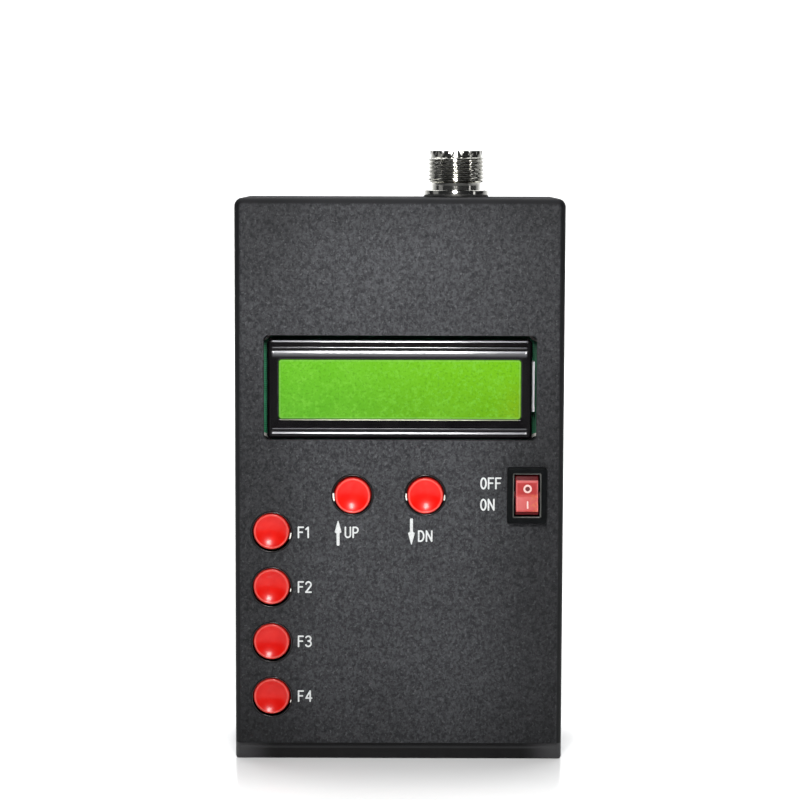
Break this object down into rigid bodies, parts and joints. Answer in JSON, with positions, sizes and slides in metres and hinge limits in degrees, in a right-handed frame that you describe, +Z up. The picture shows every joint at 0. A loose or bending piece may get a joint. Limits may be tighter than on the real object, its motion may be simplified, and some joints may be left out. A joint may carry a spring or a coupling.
{
  "type": "antenna analyzer",
  "caption": "Hand-held antenna analyzer: charcoal plastic case with a character display, round red push buttons, a red power rocker and a coax socket on its top end.",
  "frame": {"origin": "middle of the flat base that the analyzer stands on, level with the case's mid-depth", "axes": "+Z up along the case towards the coax socket, -Y out of the front face, +X to the right of someone facing the front"},
  "size_m": [0.088, 0.0429, 0.1636],
  "materials": {
    "case": "satin",
    "bezel": "gloss",
    "lcd": "gloss",
    "light_guide": "satin",
    "board": "satin",
    "cap_red": "gloss",
    "stem": "matte",
    "rocker_red": "gloss",
    "switch_body": "satin",
    "black_plastic": "matte",
    "white_plastic": "satin",
    "resin": "satin",
    "screw": "satin",
    "tinned": "satin",
    "nickel": "polished",
    "contact": "satin",
    "insulator": "satin",
    "wire": "satin",
    "ribbon": "satin",
    "capacitor": "satin",
    "cell": "gloss",
    "foam": "matte"
  },
  "bodies": {
    "case": {"front_cover": "case", "rear_shell": "case", "case_screws": "screw", "lcd_bezel": "bezel", "lcd_glass": "lcd", "lcd_backlight": "light_guide", "lcd_board": "board", "lcd_screws": "screw", "lcd_header": "black_plastic", "lcd_chips": "resin", "lcd_ribbon": "ribbon", "key_board": "board", "key_board_screws": "screw", "key_switches": "black_plastic", "key_ribbon": "ribbon", "key_socket": "white_plastic", "rocker_housing": "switch_body", "rocker_terminals": "tinned", "switch_leads": "wire", "uhf_body": "nickel", "uhf_insulator": "insulator", "uhf_contact": "contact", "uhf_lock_washer": "nickel", "uhf_nut": "nickel", "coax_pigtail": "wire", "main_board": "board", "main_board_screws": "screw", "shield_can": "tinned", "controller_chip": "resin", "synth_chip": "resin", "clock_crystal": "tinned", "filter_capacitors": "capacitor", "contrast_trimmer": "white_plastic", "display_socket": "black_plastic", "keypad_socket": "white_plastic", "plug_sockets": "white_plastic", "dc_jack": "black_plastic", "dc_jack_pin": "nickel", "usb_socket": "tinned", "battery_holder": "black_plastic", "battery_cells": "cell", "battery_contacts": "tinned", "holder_tape": "foam", "battery_leads": "wire"},
    "up_button": {"key_cap_up": "cap_red", "key_stem_up": "stem"},
    "down_button": {"key_cap_down": "cap_red", "key_stem_down": "stem"},
    "function_button_1": {"key_cap_1": "cap_red", "key_stem_1": "stem"},
    "function_button_2": {"key_cap_2": "cap_red", "key_stem_2": "stem"},
    "function_button_3": {"key_cap_3": "cap_red", "key_stem_3": "stem"},
    "function_button_4": {"key_cap_4": "cap_red", "key_stem_4": "stem"},
    "rocker": {"rocker_paddle": "rocker_red"}
  },
  "joints": [
    {"name": "up_button_press", "type": "slide", "parent": "case", "child": "up_button", "axis": [0, 1, 0], "range_m": [0, 0.00035], "stiffness_N_per_m": 2500, "springref_m": -0.0003},
    {"name": "down_button_press", "type": "slide", "parent": "case", "child": "down_button", "axis": [0, 1, 0], "range_m": [0, 0.00035], "stiffness_N_per_m": 2500, "springref_m": -0.0003},
    {"name": "function_button_1_press", "type": "slide", "parent": "case", "child": "function_button_1", "axis": [0, 1, 0], "range_m": [0, 0.00035], "stiffness_N_per_m": 2500, "springref_m": -0.0003},
    {"name": "function_button_2_press", "type": "slide", "parent": "case", "child": "function_button_2", "axis": [0, 1, 0], "range_m": [0, 0.00035], "stiffness_N_per_m": 2500, "springref_m": -0.0003},
    {"name": "function_button_3_press", "type": "slide", "parent": "case", "child": "function_button_3", "axis": [0, 1, 0], "range_m": [0, 0.00035], "stiffness_N_per_m": 2500, "springref_m": -0.0003},
    {"name": "function_button_4_press", "type": "slide", "parent": "case", "child": "function_button_4", "axis": [0, 1, 0], "range_m": [0, 0.00035], "stiffness_N_per_m": 2500, "springref_m": -0.0003},
    {"name": "power_rocker", "type": "hinge", "parent": "case", "child": "rocker", "pos_m": [0.0341, -0.0192, 0.07193], "axis": [1, 0, 0], "range_deg": [0, 18]}
  ]
}
